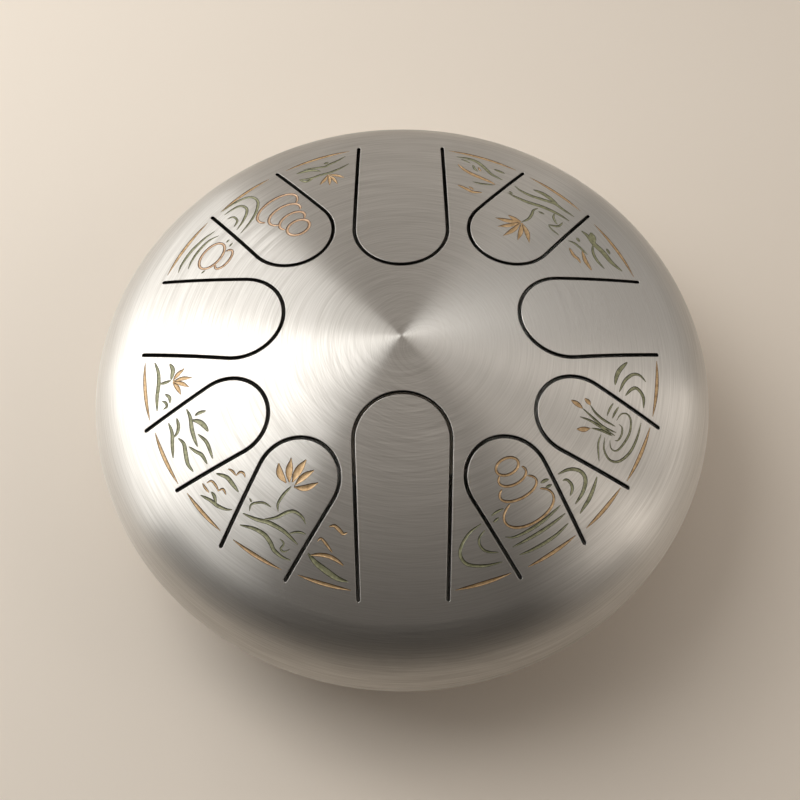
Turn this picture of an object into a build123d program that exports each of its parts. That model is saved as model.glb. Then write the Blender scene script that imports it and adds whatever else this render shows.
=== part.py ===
"""Steel tongue drum, 305 mm across: two pressed bowls welded rim to rim, with ten tongues cut in the
top one, a tuning magnet under each tongue, a sound hole in the bottom and three screwed rubber feet.

Millimetres and degrees. The origin is on the drum's axis, on the surface that it stands on, and +Z
is up. The player sits on the -Y side, in front of the longest tongue. Each tongue is a node of its
own, parted from the top bowl by a hairline at its root, so that it can bend there.
"""

from build123d import *

import os
from math import asin, atan2, cos, degrees, hypot, sin, sqrt, tan

# Bowls
outer_radius = 152.5
crown_radius = 370.0  # the shallow middle of a bowl, outside
knuckle_radius = 33.0  # the tight shoulder beside the rim, outside
sheet = 2.0
equator_height = 60.0  # of the welded rim over the table
weld_depth = 1.2  # of the V between the two rims, ground flush outside

# Sound hole, whose edge is turned up into the drum
sound_hole_radius = 38.0
lip_height = 8.0  # above the inside of the bowl
lip_rounding = 3.0

# Tongues
slot_width = 1.8
lean_radius = 91.5  # where a tongue's centre line crosses its azimuth, and about which it leans
root_gap = 0.05

# Each tongue: azimuth and lean in degrees, half the distance between the slots' centre lines at the
# root, the radius of the tip's slot, and the distances from the drum's axis to that slot's centre and
# to the slots' ends
tongues = {
    "front": (-90.0, 0.0, 19.8, 22.3, 51.4, 123.0),
    "front_left": (-124.2, 5.1, 16.9, 19.1, 83.1, 124.7),
    "mid_left": (-155.5, 4.0, 17.4, 19.2, 88.5, 124.8),
    "left": (169.2, 1.25, 20.7, 22.0, 79.3, 124.4),
    "back_left": (130.35, -0.8, 20.7, 21.0, 83.7, 125.2),
    "back": (90.0, 0.0, 21.7, 22.9, 63.3, 125.2),
    "back_right": (49.65, 0.8, 20.7, 21.0, 83.7, 124.0),
    "right": (10.3, -2.2, 20.7, 22.0, 79.3, 123.0),
    "mid_right": (-24.5, -4.0, 17.4, 19.2, 88.5, 124.8),
    "front_right": (-55.8, -5.1, 16.9, 19.1, 83.1, 124.2),
}

magnet_radius = 8.0
magnet_thickness = 3.0

# Feet, each held by an M4 screw square to the bowl
foot_azimuths = {"front": -90.0, "back_right": 30.0, "back_left": 150.0}
foot_distance = 80.0  # from the axis to the screw's hole in the bowl
foot_top_radius = 12.0
foot_bottom_radius = 10.0
foot_web = 5.0  # rubber between the bowl and the screw's washer
foot_recess_radius = 5.5
foot_rounding = 1.0
screw_radius = 2.0
screw_length = 14.0
hole_radius = 2.2
head_radius = 4.0
head_height = 2.6
cross_width = 1.0
cross_length = 4.4
cross_depth = 1.6
washer_radius = 4.5
washer_thickness = 0.8
nut_across_flats = 7.0
nut_height = 3.2
thread_clearance = 0.02

# Worked out from the above
knuckle_centre = outer_radius - knuckle_radius
crown_depth = sqrt((crown_radius - knuckle_radius) ** 2 - knuckle_centre**2)
crown_edge = degrees(atan2(crown_depth, knuckle_centre))  # where crown meets knuckle
inner_crown_radius = crown_radius - sheet
cut_height = 200.0  # taller than the drum
equator = Plane.XY.offset(equator_height)


def crown_height(sphere_radius, radius):
    """Height over the equator of a point on the upper crown, inside or outside."""
    return sqrt(sphere_radius**2 - radius**2) - crown_depth


def make_bowl():
    """The top bowl, rim down, standing on the origin: crown, knuckle and a flat rim."""
    crown_centre = (0, -crown_depth)
    crown_turn = 90 - crown_edge
    inner_knuckle = knuckle_radius - sheet
    section = make_face(
        CenterArc(crown_centre, crown_radius, crown_edge, crown_turn)
        + CenterArc((knuckle_centre, 0), knuckle_radius, 0, crown_edge)
        + Line((outer_radius - sheet, 0), (outer_radius, 0))
        + CenterArc((knuckle_centre, 0), inner_knuckle, 0, crown_edge)
        + CenterArc(crown_centre, inner_crown_radius, crown_edge, crown_turn)
        + Line((0, crown_radius - crown_depth), (0, inner_crown_radius - crown_depth))
    )
    return revolve(Plane.XZ * section, Axis.Z)


def make_weld():
    """The weld's bead: it fills the V between the rims and is ground to their curve outside."""
    top = (knuckle_centre + sqrt(knuckle_radius**2 - weld_depth**2), weld_depth)
    bottom = (top[0], -weld_depth)
    root = (outer_radius - weld_depth, 0)
    bead = make_face(
        Line(root, top) + ThreePointArc(top, (outer_radius, 0), bottom) + Line(bottom, root)
    )
    return revolve(Plane.XZ * bead, Axis.Z)


def make_bottom_shell(bowl, weld):
    """The bottom bowl, with the sound hole's turned-up lip and a hole for each foot's screw."""
    floor = crown_height(inner_crown_radius, sound_hole_radius + sheet)
    lip_top = floor - lip_height
    lip = Pos(0, 0, lip_top) * Cylinder(
        sound_hole_radius + sheet, lip_height + sheet / 2, align=(Align.CENTER, Align.CENTER, Align.MIN)
    )
    shell = bowl + lip
    shell -= Cylinder(sound_hole_radius, cut_height)
    mouth = shell.edges().filter_by(GeomType.CIRCLE)
    mouth = mouth.filter_by(lambda edge: abs(edge.radius - sound_hole_radius) < 0.01)
    shell = fillet(mouth.sort_by(Axis.Z)[-1], lip_rounding)
    shell = equator * mirror(shell, about=Plane.XY)
    shell -= equator * weld
    for azimuth in foot_azimuths.values():
        shell -= foot_plane(azimuth) * Cylinder(hole_radius, 4 * sheet)
    return shell


def tongue_plane(tongue):
    """Plan frame of a tongue: x runs out along its centre line from the lean radius."""
    azimuth, lean = tongue[:2]
    at = Vector(lean_radius, 0).rotate(Axis.Z, azimuth)
    return Pos(at.X, at.Y, 0) * Rot(0, 0, azimuth + lean)


def across(point):
    """The point's mirror image in a tongue's centre line."""
    return (point[0], -point[1])


def tongue_sides(tongue):
    """In a tongue's frame: a slot's end, the tip arc's centre, and how much the sides flare."""
    half_root, tip_radius, tip_distance, root_distance = tongue[2:]
    end = (sqrt(root_distance**2 - half_root**2) - lean_radius, half_root)
    tip = tip_distance - lean_radius
    reach = end[0] - tip
    flare = asin(tip_radius / hypot(reach, half_root)) - atan2(half_root, reach)
    return end, tip, flare


def beside(point, flare, offset):
    """A point moved square to a tongue's side, away from the tongue."""
    return (point[0] + offset * sin(flare), point[1] + offset * cos(flare))


def round_tip(tongue, grow):
    """The tip's arc, grow mm outside the middle of the slot, and the arc's end on the +Y side."""
    tip, flare = tongue_sides(tongue)[1:]
    radius = tongue[3] + grow
    touch = beside((tip, 0), flare, radius)
    return ThreePointArc(touch, (tip - radius, 0), across(touch)), touch


def make_window(tongue):
    """The prism that the top shell loses for a tongue and its slots, which have round ends."""
    half_slot = slot_width / 2
    end, _, flare = tongue_sides(tongue)
    outer = beside(end, flare, half_slot)
    inner = beside(end, flare, -half_slot)
    cap = (end[0] + half_slot * cos(flare), end[1] - half_slot * sin(flare))
    tip_arc, touch = round_tip(tongue, half_slot)
    outline = make_face(
        tip_arc
        + Line(touch, outer)
        + ThreePointArc(outer, cap, inner)
        + Line(inner, across(inner))
        + ThreePointArc(across(inner), across(cap), across(outer))
        + Line(across(outer), across(touch))
    )
    return tongue_plane(tongue) * extrude(outline, cut_height, dir=(0, 0, 1))


def make_tongue(bowl, tongue):
    """The part of the bowl inside the slots, its root square to its centre line."""
    half_slot = slot_width / 2
    end, _, flare = tongue_sides(tongue)
    root_edge = beside(end, flare, -half_slot)
    corner = (root_edge[0] - root_gap, root_edge[1] + root_gap * tan(flare))
    tip_arc, touch = round_tip(tongue, -half_slot)
    outline = make_face(
        tip_arc
        + Line(touch, corner)
        + Line(corner, across(corner))
        + Line(across(corner), across(touch))
    )
    prism = tongue_plane(tongue) * extrude(outline, cut_height, dir=(0, 0, 1))
    return equator * (bowl & prism)


def make_magnet(tongue):
    """A disc magnet, its rim against the inside of the tongue at the middle of the tip's arc."""
    centre = tongue_plane(tongue) * Pos(tongue[4] - lean_radius, 0, 0)
    at = centre.position
    height = crown_height(inner_crown_radius, hypot(at.X, at.Y))
    normal = Vector(at.X, at.Y, height + crown_depth).normalized()
    reach = sqrt(inner_crown_radius**2 - magnet_radius**2)
    face = Vector(0, 0, equator_height - crown_depth) + normal * reach
    disc = Cylinder(magnet_radius, magnet_thickness, align=(Align.CENTER, Align.CENTER, Align.MAX))
    return Plane(face, z_dir=normal) * chamfer(disc.edges(), 0.3)


def foot_plane(azimuth):
    """Frame of a foot: its origin is on the bottom bowl's outside and +Z runs into the drum."""
    drop = crown_height(crown_radius, foot_distance)
    at = Vector(foot_distance, 0, equator_height - drop).rotate(Axis.Z, azimuth)
    centre = Vector(0, 0, equator_height + crown_depth)
    return Plane(at, z_dir=centre - at)


def make_foot(azimuth):
    """A rubber cone, shaped to the bowl on top and to the table below, with the screw's recess."""
    plane = foot_plane(azimuth)
    length = plane.origin.Z / abs(plane.z_dir.Z) + foot_bottom_radius
    cone = Pos(0, 0, 1 - length / 2) * Cone(foot_bottom_radius, foot_top_radius, length + 2)
    cone -= Cylinder(hole_radius, 2 * length)
    recess = Pos(0, 0, -foot_web) * Cylinder(
        foot_recess_radius, length, align=(Align.CENTER, Align.CENTER, Align.MAX)
    )
    foot = plane * (cone - recess)
    foot -= Pos(0, 0, equator_height + crown_depth) * Sphere(crown_radius)
    foot -= Box(500, 500, 100, align=(Align.CENTER, Align.CENTER, Align.MAX))
    ground = foot.faces().sort_by(Axis.Z)[0]
    return fillet(ground.outer_wire().edges(), foot_rounding)


def make_screw():
    """An M4 pan-head screw in a foot's frame, its head up against the washer in the recess."""
    under_head = -foot_web - washer_thickness
    head = Cylinder(head_radius, head_height, align=(Align.CENTER, Align.CENTER, Align.MAX))
    head = fillet(head.edges().sort_by(Axis.Z)[0], 1.2)
    for angle in (0, 90):
        head -= Pos(0, 0, -head_height + cross_depth / 2) * Rot(0, 0, angle) * Box(
            cross_length, cross_width, cross_depth
        )
    shank = Cylinder(screw_radius, screw_length, align=(Align.CENTER, Align.CENTER, Align.MIN))
    shank = chamfer(shank.edges().sort_by(Axis.Z)[-1], 0.5)
    return Pos(0, 0, under_head) * (head + shank)


def make_washer(face):
    """A plain M4 washer whose lower face is at a height in a foot's frame."""
    ring = Circle(washer_radius) - Circle(hole_radius)
    return Pos(0, 0, face) * extrude(ring, washer_thickness)


def make_nut(face):
    hexagon = RegularPolygon(nut_across_flats / 2, 6, major_radius=False)
    blank = extrude(hexagon, nut_height)
    corners = Cone(nut_across_flats / 2 + nut_height, nut_across_flats / 2 - 0.1, nut_height + 0.5)
    blank &= Pos(0, 0, nut_height / 2 + 0.45) * corners
    blank -= Cylinder(screw_radius + thread_clearance, 4 * nut_height)
    return Pos(0, 0, face) * blank


def at_each_foot(piece):
    return Compound([foot_plane(azimuth) * piece for azimuth in foot_azimuths.values()])


def make_parts():
    bowl = make_bowl()
    weld = make_weld()
    top_shell = bowl - weld
    for tongue in tongues.values():
        top_shell -= make_window(tongue)
    # A flat washer meets the hollow inside of the bowl with its rim
    seat = inner_crown_radius - sqrt(inner_crown_radius**2 - washer_radius**2) + sheet
    parts = {
        "top_shell": equator * top_shell,
        "bottom_shell": make_bottom_shell(bowl, weld),
        "equator_weld": equator * weld,
        "foot_screws": at_each_foot(make_screw()),
        "foot_screw_washers": at_each_foot(make_washer(-foot_web - washer_thickness)),
        "foot_nut_washers": at_each_foot(make_washer(seat)),
        "foot_nuts": at_each_foot(make_nut(seat + washer_thickness)),
    }
    for name, tongue in tongues.items():
        parts[f"tongue_{name}"] = make_tongue(bowl, tongue)
        parts[f"magnet_{name}"] = make_magnet(tongue)
    for name, azimuth in foot_azimuths.items():
        parts[f"rubber_foot_{name}"] = make_foot(azimuth)
    return parts


os.makedirs("parts", exist_ok=True)
for node, shape in make_parts().items():
    shape.label = node
    export_step(shape, f"parts/{node}.step")
    print(node, round(shape.volume, 2))
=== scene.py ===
"""Steel tongue drum: the looks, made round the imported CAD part.

The bowls, the tongues and the weld are new meshes on the CAD part's shape, with rounded slot edges and
real engraved grooves. The magnets, feet and fasteners are the CAD nodes with better materials. Plan
shapes are in millimetres, x to the right and y away from the player, about the drum's axis.
"""

import math

import bpy
import numpy as np
from mathutils import Euler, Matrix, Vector
from mathutils.geometry import delaunay_2d_cdt


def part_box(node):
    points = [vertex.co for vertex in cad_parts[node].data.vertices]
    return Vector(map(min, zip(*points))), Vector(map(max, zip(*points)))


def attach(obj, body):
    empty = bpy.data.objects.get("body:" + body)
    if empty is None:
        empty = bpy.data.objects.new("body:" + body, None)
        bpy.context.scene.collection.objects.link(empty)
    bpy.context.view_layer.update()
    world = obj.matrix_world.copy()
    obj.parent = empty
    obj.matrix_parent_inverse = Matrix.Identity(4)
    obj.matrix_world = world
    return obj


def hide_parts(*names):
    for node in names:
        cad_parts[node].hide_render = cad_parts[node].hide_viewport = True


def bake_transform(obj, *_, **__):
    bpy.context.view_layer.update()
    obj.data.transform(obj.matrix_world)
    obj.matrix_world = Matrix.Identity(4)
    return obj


MM = 0.001
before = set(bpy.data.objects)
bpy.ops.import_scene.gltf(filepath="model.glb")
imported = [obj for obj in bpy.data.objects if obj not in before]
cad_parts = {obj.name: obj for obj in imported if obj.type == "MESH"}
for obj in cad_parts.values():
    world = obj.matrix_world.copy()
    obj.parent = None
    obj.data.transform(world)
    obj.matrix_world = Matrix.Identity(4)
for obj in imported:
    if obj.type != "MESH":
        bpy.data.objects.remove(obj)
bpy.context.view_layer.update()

# Bowls, as in the CAD source
OUTER_RADIUS = 152.5
CROWN_RADIUS = 370.0
KNUCKLE_RADIUS = 33.0
SHEET = 2.0
WELD_DEPTH = 1.2
SOUND_HOLE_RADIUS = 38.0
LIP_HEIGHT = 8.0
LIP_ROUNDING = 3.0

# Slots and tongues, as in the CAD source. Each tongue: azimuth, lean, half the distance between the
# slots' middles at the root, the tip's slot radius, and the distances of the tip's centre and of the
# slots' ends from the axis
SLOT_WIDTH = 1.8
LEAN_RADIUS = 91.5
TONGUES = {
    "front": (-90.0, 0.0, 19.8, 22.3, 51.4, 123.0),
    "front_left": (-124.2, 5.1, 16.9, 19.1, 83.1, 124.7),
    "mid_left": (-155.5, 4.0, 17.4, 19.2, 88.5, 124.8),
    "left": (169.2, 1.25, 20.7, 22.0, 79.3, 124.4),
    "back_left": (130.35, -0.8, 20.7, 21.0, 83.7, 125.2),
    "back": (90.0, 0.0, 21.7, 22.9, 63.3, 125.2),
    "back_right": (49.65, 0.8, 20.7, 21.0, 83.7, 124.0),
    "right": (10.3, -2.2, 20.7, 22.0, 79.3, 123.0),
    "mid_right": (-24.5, -4.0, 17.4, 19.2, 88.5, 124.8),
    "front_right": (-55.8, -5.1, 16.9, 19.1, 83.1, 124.2),
}

# Worked out from the above
KNUCKLE_CENTRE = OUTER_RADIUS - KNUCKLE_RADIUS
CROWN_DEPTH = math.sqrt((CROWN_RADIUS - KNUCKLE_RADIUS) ** 2 - KNUCKLE_CENTRE**2)
CROWN_EDGE = math.atan2(CROWN_DEPTH, KNUCKLE_CENTRE)
INNER_CROWN = CROWN_RADIUS - SHEET
WELD_ANGLE = math.asin(WELD_DEPTH / KNUCKLE_RADIUS)
WELD_LIP = (KNUCKLE_CENTRE + KNUCKLE_RADIUS * math.cos(WELD_ANGLE), WELD_DEPTH)
WELD_ROOT = (OUTER_RADIUS - WELD_DEPTH, 0)
SLANT = math.sqrt(0.5)  # each part of the weld groove's normal, at 45 degrees
weld_low, weld_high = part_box("equator_weld")
EQUATOR = (weld_low.z + weld_high.z) / 2 / MM

# Mesh detail
SEGMENTS = 360  # round the drum
PLAN_RADIUS = 128.0  # the crown is triangulated in plan inside it, and turned outside it
GRID = 3.5
OUTLINE_STEP = 2.0
ROOT_STEPS = 14
CAP_STEPS = 8
SHOULDER_STEPS = 36
INNER_SHOULDER_STEPS = 20
LIP_STEPS = 10
BEAD_STEPS = 4
EDGE_ROUNDING = 0.25
EDGE_ANGLES = (0.0, 30.0, 60.0, 90.0)
PROBE = 0.1  # between the rows whose difference gives the way across a slot
SAME_POINT = 1e-5  # plan points nearer than this are one
WELD_GRID = 0.00061  # and so are a mesh's corners nearer than this
LEAST_HEIGHT = 1e-4  # of a triangle in plan: a flatter one is only rounding between points in line

# Engraving
STROKE_STEP = 0.9
STROKE_END = 0.22  # least width of a stroke, as a share of its full width
PETAL_START = 0.06  # share of a petal's length that is bare at the flower's base
PETAL_BOW = 0.05  # share of its length by which a petal's middle is bowed aside
STONE_GAP = 1.04  # a stone's line stops outside the stone before it, at this share of that one's size
GROOVE_DEPTH = 0.32
GROOVE_WALL = 0.4
WALL_SHARE = 0.7  # of the depth; the rest is the floor's slope to its middle line
SHARE_DIGITS = 9  # the further ones are rounding noise, which differs from run to run
LEAST_FLOOR = 0.35  # share of a stroke's half-width
STEEL, GOLD, GREEN, COPPER, CUT_AND_SHADE = range(5)  # the finishes' places in the material slots

BEND_LENGTH = 22.0  # of a tongue, from its root

# Studio, in metres. The floor's distances are from the axis
FLOOR_LIT = 0.9  # the panels light the floor well as far as this
FLOOR_UNLIT = 2.2  # and hardly at all beyond this
FLOOR_EDGE = 4.0
FLOOR_GLOW = 0.72  # of the backdrop's brightness, where the floor is unlit
BACKDROP = (0.50, 0.43, 0.36)
FOCAL_LENGTH = 61.5  # in millimetres, on a 36 mm sensor
CAMERA_AT = (0.0, -0.3106, 0.6719)
CAMERA_AIM = (-0.001, -0.0051, 0.0574)
CAMERA_ROLL = -0.52  # degrees


# ---------------------------------------------------------------- engraved strokes


def curve_through(points, closed=False):
    """A smooth line through the points, with a sample about every STROKE_STEP."""
    points = np.array(points, float)
    if closed:
        before, after = points[-1:], points[:2]
    else:
        before, after = 2 * points[:1] - points[1:2], 2 * points[-1:] - points[-2:-1]
    knots = np.vstack([before, points, after])
    runs = []
    for a, b, c, d in zip(knots, knots[1:], knots[2:], knots[3:]):
        count = max(2, math.ceil(np.linalg.norm(c - b) / STROKE_STEP))
        t = (np.arange(count) / count)[:, None]
        quadratic = (2 * a - 5 * b + 4 * c - d) * t**2
        cubic = (3 * b - a - 3 * c + d) * t**3
        runs.append((2 * b + (c - a) * t + quadratic + cubic) / 2)
    if not closed:
        runs.append(points[-1:])
    return np.vstack(runs)


class Stroke:
    """One engraved line: its middle, its half-width along it, and its paint."""

    def __init__(self, paint, width, points, belly=0.45, closed=False):
        self.paint = paint
        self.closed = closed
        self.line = curve_through(points, closed)
        steps = np.linalg.norm(np.diff(self.line, axis=0), axis=1)
        along = np.concatenate([[0.0], np.cumsum(steps)])
        share = along / along[-1]
        swell = np.ones_like(share) if closed else np.sin(math.pi * share) ** belly
        self.half = width / 2 * np.clip(swell, STROKE_END, 1.0)

    def side(self, offset):
        """The line moved sideways by offset, which is a number for each sample."""
        if self.closed:
            ahead, behind = np.roll(self.line, -1, axis=0), np.roll(self.line, 1, axis=0)
            along = ahead - behind
        else:
            along = np.gradient(self.line, axis=0)
        along /= np.linalg.norm(along, axis=1)[:, None]
        square = np.column_stack([-along[:, 1], along[:, 0]])
        return self.line + square * offset[:, None]

    def outlines(self):
        """Closed outlines of the groove at the surface and of its floor."""
        floor = np.maximum(self.half - GROOVE_WALL, LEAST_FLOOR * self.half)
        for half in (self.half, floor):
            left, right = self.side(half), self.side(-half)
            if self.closed:
                yield left
                yield right
            else:
                yield np.vstack([left, right[::-1]])

    def inside(self, plan):
        """Which plan points may be in the groove, how far in from its edge each of those is, 0 at the
        edge or outside and 1 at the floor, and its depth as a share of the deepest groove's."""
        reach = self.half.max()
        low, high = self.line.min(axis=0) - reach, self.line.max(axis=0) + reach
        near = np.flatnonzero(((plan > low) & (plan < high)).all(axis=1))
        a, half_a = self.line, self.half
        b, half_b = np.roll(a, -1, axis=0), np.roll(half_a, -1)
        if not self.closed:
            a, half_a, b, half_b = a[:-1], half_a[:-1], b[:-1], half_b[:-1]
        leg = b - a
        rel = plan[near][:, None, :] - a
        t = np.clip((rel * leg).sum(axis=2) / (leg**2).sum(axis=1), 0, 1)
        gap = np.linalg.norm(rel - t[:, :, None] * leg, axis=2)
        half = half_a + (half_b - half_a) * t
        wall = np.minimum(GROOVE_WALL, (1 - LEAST_FLOOR) * half)
        down = np.clip((half - gap) / wall, 0, 1)
        middle = np.clip((half - gap) / half, 0, 1)
        depth = (WALL_SHARE * down + (1 - WALL_SHARE) * middle) * wall / GROOVE_WALL
        deepest = [share.max(axis=1, initial=0).round(SHARE_DIGITS) for share in (down, depth)]
        return near, *deepest


def drawn(paint, lines, belly=0.45):
    """Strokes in one paint. Each line is its width and its points."""
    return [Stroke(paint, width, points, belly) for width, points in lines]


def rim_line(start, end, radius):
    """A gold line along the engraving's outer rim, between two azimuths."""
    turns = np.radians(np.linspace(start, end, 5))
    points = np.column_stack([np.cos(turns), np.sin(turns)]) * radius
    return Stroke(GOLD, 1.8, points, belly=0.6)


def flower(base, petals, width):
    """Gold leaf-shaped petals that fan out from a base, each with its tip at a point."""
    base = np.array(base, float)
    strokes = []
    for tip in petals:
        reach = np.array(tip, float) - base
        bow = np.array([-reach[1], reach[0]]) * PETAL_BOW
        middle = base + reach * 0.5 + bow
        strokes.append(Stroke(GOLD, width, [base + reach * PETAL_START, middle, tip], belly=0.85))
    return strokes


def stones(paint, width, pile):
    """Outlines of ellipses stacked on each other: each is hidden behind the ones before it. One of the
    pile is its centre, its two half-axes and the turn of the longer one."""
    strokes = []
    turns = np.linspace(0, 2 * math.pi, 24, endpoint=False)
    for index, (centre, half_long, half_short, tilt) in enumerate(pile):
        outline = np.column_stack([half_long * np.cos(turns), half_short * np.sin(turns)])
        outline = outline @ turned(tilt) + centre
        shown = np.ones(len(outline), bool)
        for other, other_long, other_short, other_tilt in pile[:index]:
            local = (outline - other) @ turned(other_tilt).T
            shown &= np.hypot(local[:, 0] / other_long, local[:, 1] / other_short) > STONE_GAP
        if shown.all():
            strokes.append(Stroke(paint, width, outline, closed=True))
        else:
            start = np.flatnonzero(shown & ~np.roll(shown, 1))[0]
            run = np.roll(outline, -start, axis=0)[np.roll(shown, -start)]
            strokes.append(Stroke(paint, width, run, belly=0.12))
    return strokes


def turned(degrees):
    """The matrix that turns rows of plan points anticlockwise."""
    turn = math.radians(degrees)
    return np.array([[math.cos(turn), math.sin(turn)], [-math.sin(turn), math.cos(turn)]])


def rim_lines():
    """The gold lines between slots and on tongues: azimuths from and to, and radius."""
    spans = [
        (-113.0, -101.1, 119.6), (-129.3, -116.7, 120.4), (-144.4, -132.8, 121.0),
        (-161.0, -147.5, 122.0), (-178.8, -164.4, 123.0), (157.9, 141.5, 125.0),
        (137.0, 123.0, 124.3), (118.3, 102.3, 124.5), (78.3, 61.3, 124.0),
        (57.4, 42.4, 123.4), (37.6, 21.0, 123.0), (-1.6, -15.6, 122.0),
        (-18.4, -32.5, 122.0), (-34.7, -47.0, 121.2), (-49.9, -62.5, 120.5),
        (-66.4, -78.9, 119.8),
    ]
    return [rim_line(*span) for span in spans]


def lotus_in_front():
    """The lotus and the water plants on the front left tongue."""
    return drawn(GOLD, [
        (3.3, [(-52.4, -69.8), (-55.3, -65.4), (-56.0, -60.6)]),
        (3.4, [(-50.9, -69.6), (-51.1, -64.4), (-50.3, -59.0)]),
        (3.7, [(-49.6, -69.7), (-46.9, -64.6), (-43.4, -59.8)]),
        (3.1, [(-48.3, -71.0), (-44.3, -67.4), (-39.8, -64.9)]),
        (3.0, [(-48.8, -72.0), (-43.5, -72.6), (-37.8, -70.6)]),
    ], belly=0.8) + drawn(GREEN, [
        (1.5, [(-50, -71.5), (-53.5, -75), (-56, -79), (-55.8, -82.3)]),
        (1.2, [(-69, -81.3), (-68, -78.3), (-63, -77.9), (-59, -80.2)]),
        (0.9, [(-69, -75.5), (-68, -77.5)]),
        (2.0, [(-72, -82), (-66, -85), (-60, -87), (-54, -90.5), (-50, -94), (-46.8, -97.3)]),
        (1.7, [(-62.5, -85.4), (-57, -85), (-52, -83), (-48.5, -82.8), (-45, -85.3), (-43.3, -88.5)]),
        (1.2, [(-50.8, -92.3), (-47.5, -91.8), (-45, -92.2), (-43.2, -93)]),
        (2.0, [(-73.3, -87), (-67, -89), (-62, -92), (-59, -96), (-57.5, -99), (-54, -102),
              (-50, -103.8)]),
        (1.0, [(-55, -94.2), (-53, -96.5), (-54.5, -98.5), (-53, -100), (-50.2, -99)]),
    ])


def leaves_beside_front():
    """Between the front and front left tongues."""
    return drawn(GREEN, [
        (2.7, [(-42.2, -101.2), (-39, -105), (-34, -109), (-29, -112.3), (-24.5, -113.8)]),
    ]) + drawn(GOLD, [
        (2.0, [(-41, -102), (-37, -102), (-33, -102.8), (-29.5, -104.5), (-26.3, -107)]),
        (1.4, [(-38, -96.3), (-36.5, -95), (-34.5, -97), (-31.3, -101.3)]),
        (1.8, [(-32.8, -90.2), (-30.5, -89.8), (-28, -92), (-26.5, -93.5), (-24.6, -93)]),
    ])


def sprouts_beside_front_left():
    """Between the front left and mid left tongues."""
    return drawn(GREEN, [
        (2.0, [(-85, -62.8), (-80, -65), (-77, -68.5), (-74.2, -72.3)]),
    ]) + drawn(GOLD, [
        (1.2, [(-79.5, -61.3), (-77.5, -62.3), (-75.5, -64.8)]),
        (1.2, [(-75.5, -64.8), (-73.8, -63.2), (-72, -64), (-71.3, -66)]),
        (1.2, [(-89.2, -66.9), (-87, -66), (-84.5, -69), (-83.5, -71.2)]),
        (1.2, [(-84, -71), (-81.5, -70.3), (-80, -73)]),
        (1.2, [(-91.3, -66.6), (-89.8, -69), (-88, -71.3)]),
    ]) + drawn(GREEN, [
        (1.7, [(-92, -72), (-87, -75), (-84, -77.5), (-80, -79.5), (-77, -80)]),
        (1.6, [(-87, -71), (-85.5, -73), (-84.5, -76.5)]),
    ])


def bamboo():
    """The bamboo leaves on the mid left tongue."""
    return drawn(GREEN, [
        (1.8, [(-109, -35.8), (-107, -41), (-106.5, -47), (-105.8, -53.3)]),
        (1.7, [(-105.1, -34), (-104, -38), (-104.5, -41.5), (-106.3, -43.5)]),
        (2.0, [(-103.8, -44), (-101, -47), (-99.8, -52), (-98.5, -57), (-95.8, -60.8)]),
        (2.0, [(-100.5, -30.2), (-98.5, -34.5), (-97.5, -40), (-96, -45), (-94.3, -49.3)]),
        (2.4, [(-97.5, -36), (-94, -37.3), (-91.5, -39.5), (-89.5, -42.5)]),
        (1.7, [(-96.3, -34), (-94, -32.8), (-91, -32.3)]),
        (1.7, [(-94.3, -43.3), (-90.5, -47), (-88.5, -51), (-86.8, -55.8)]),
        (1.7, [(-98.3, -48.8), (-95, -51.5), (-92, -53.5), (-89.3, -58)]),
    ])


def bloom_on_left():
    """Between the mid left and left tongues."""
    petals = [(-102.8, -9), (-98.9, -14.4), (-100, -19), (-103.8, -22.3)]
    return flower((-108.5, -15), petals, 2.2) + drawn(GREEN, [
        (2.0, [(-118, -3.3), (-115.8, -9), (-115.2, -15), (-115.5, -22), (-115, -29)]),
        (1.6, [(-114.8, -15.3), (-112, -15), (-109, -14.3)]),
        (2.2, [(-110.3, -5.3), (-108.5, -9), (-109, -14)]),
        (1.6, [(-111.5, -21), (-109.3, -23), (-108.8, -26)]),
        (1.4, [(-113, -24.3), (-111, -25.5), (-110.3, -27.5), (-112, -28.7)]),
    ])


def pond_on_left():
    """Between the left and back left tongues."""
    pile = [((-93.6, 54.6), 8.5, 5.0, 57.0), ((-87.3, 51.3), 6.3, 2.9, 57.0)]
    return stones(COPPER, 1.5, pile) + drawn(GREEN, [
        (1.6, [(-93.5, 71), (-99, 66.5), (-105, 59.5), (-109, 52), (-110.3, 47.3)]),
        (1.4, [(-91, 67.5), (-96, 65), (-101, 59), (-104, 53), (-105.3, 48.5)]),
        (1.0, [(-98.3, 44.3), (-96.3, 45.9)]),
        (1.0, [(-86.8, 62), (-85.3, 63.8)]),
        (1.0, [(-85, 59), (-83.5, 61.3)]),
    ])


def stones_at_back():
    """The pile of stones in the water on the back left tongue."""
    pile = [
        ((-50.7, 66.8), 5.9, 4.6, 35.0), ((-54.0, 71.8), 7.2, 4.6, 40.0),
        ((-58.0, 76.5), 9.0, 5.5, 38.0), ((-62.0, 81.5), 12.0, 6.5, 42.0),
    ]
    return stones(COPPER, 1.7, pile) + drawn(GREEN, [
        (1.6, [(-91.5, 84), (-85, 89), (-79, 92), (-75, 91.5), (-72.3, 87.5), (-73, 80), (-76, 73),
              (-79.8, 67)]),
        (1.6, [(-89.3, 81.5), (-85, 85), (-81, 86.5), (-78, 84), (-77.8, 80), (-79.5, 74.5),
              (-82, 69.5)]),
        (1.3, [(-87.5, 78.3), (-84.5, 79.2), (-82.5, 77), (-82.3, 75), (-83.5, 72)]),
    ])


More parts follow.
